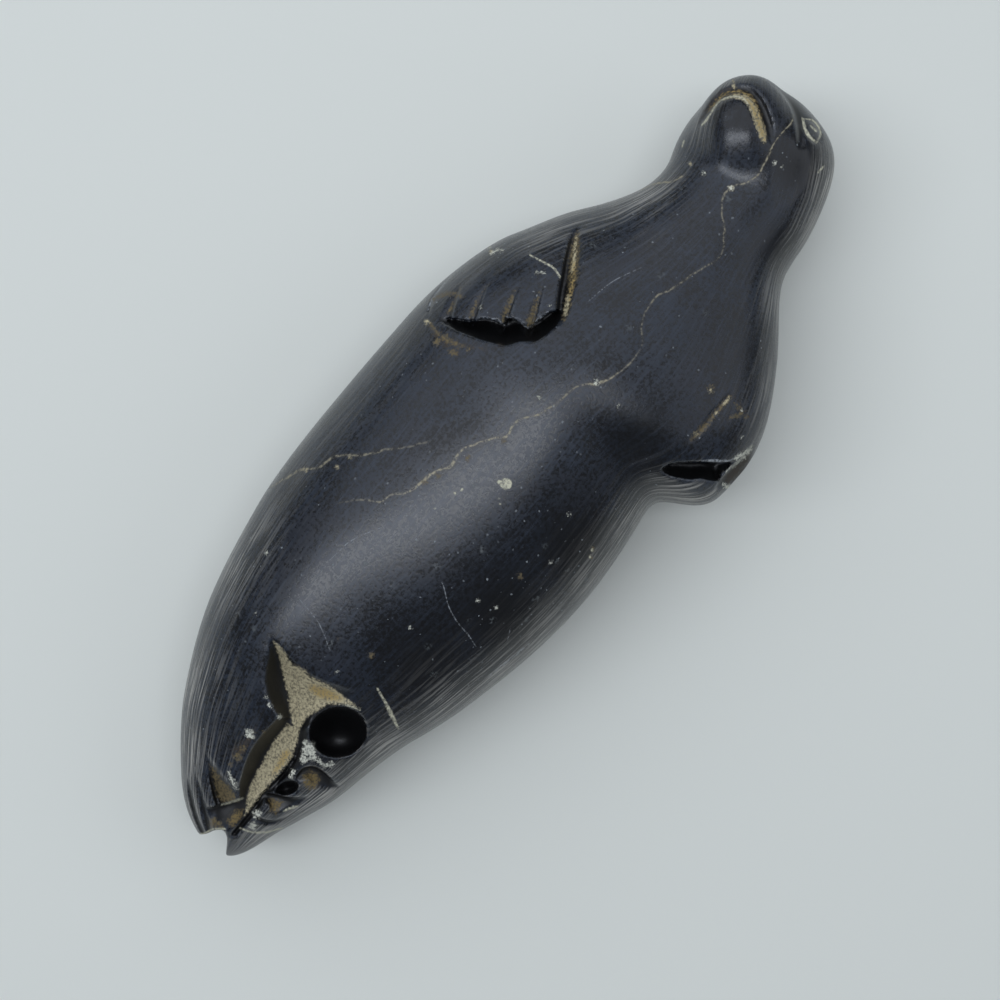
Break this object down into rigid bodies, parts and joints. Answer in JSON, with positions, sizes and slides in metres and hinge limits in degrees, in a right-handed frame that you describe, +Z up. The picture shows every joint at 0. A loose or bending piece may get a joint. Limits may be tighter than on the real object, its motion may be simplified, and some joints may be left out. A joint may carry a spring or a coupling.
{
  "type": "seal figurine",
  "caption": "Small carved stone seal lying on its back, belly and throat up, with cut flippers, a grooved mouth and ring eyes.",
  "frame": {"origin": "middle of the bounding box, at the level of the flat on the back that the stone rests on", "axes": "+X from the hind flippers to the head, +Y towards the side that the head turns to, +Z up out of the belly"},
  "size_m": [0.168, 0.0632, 0.043],
  "materials": {
    "dark_soapstone": "near-black soapstone rubbed to a worn satin polish, with pale tan stone dust left in the cuts and a few tan veins"
  },
  "bodies": {
    "root": {"carved_seal": "dark_soapstone"}
  },
  "joints": []
}
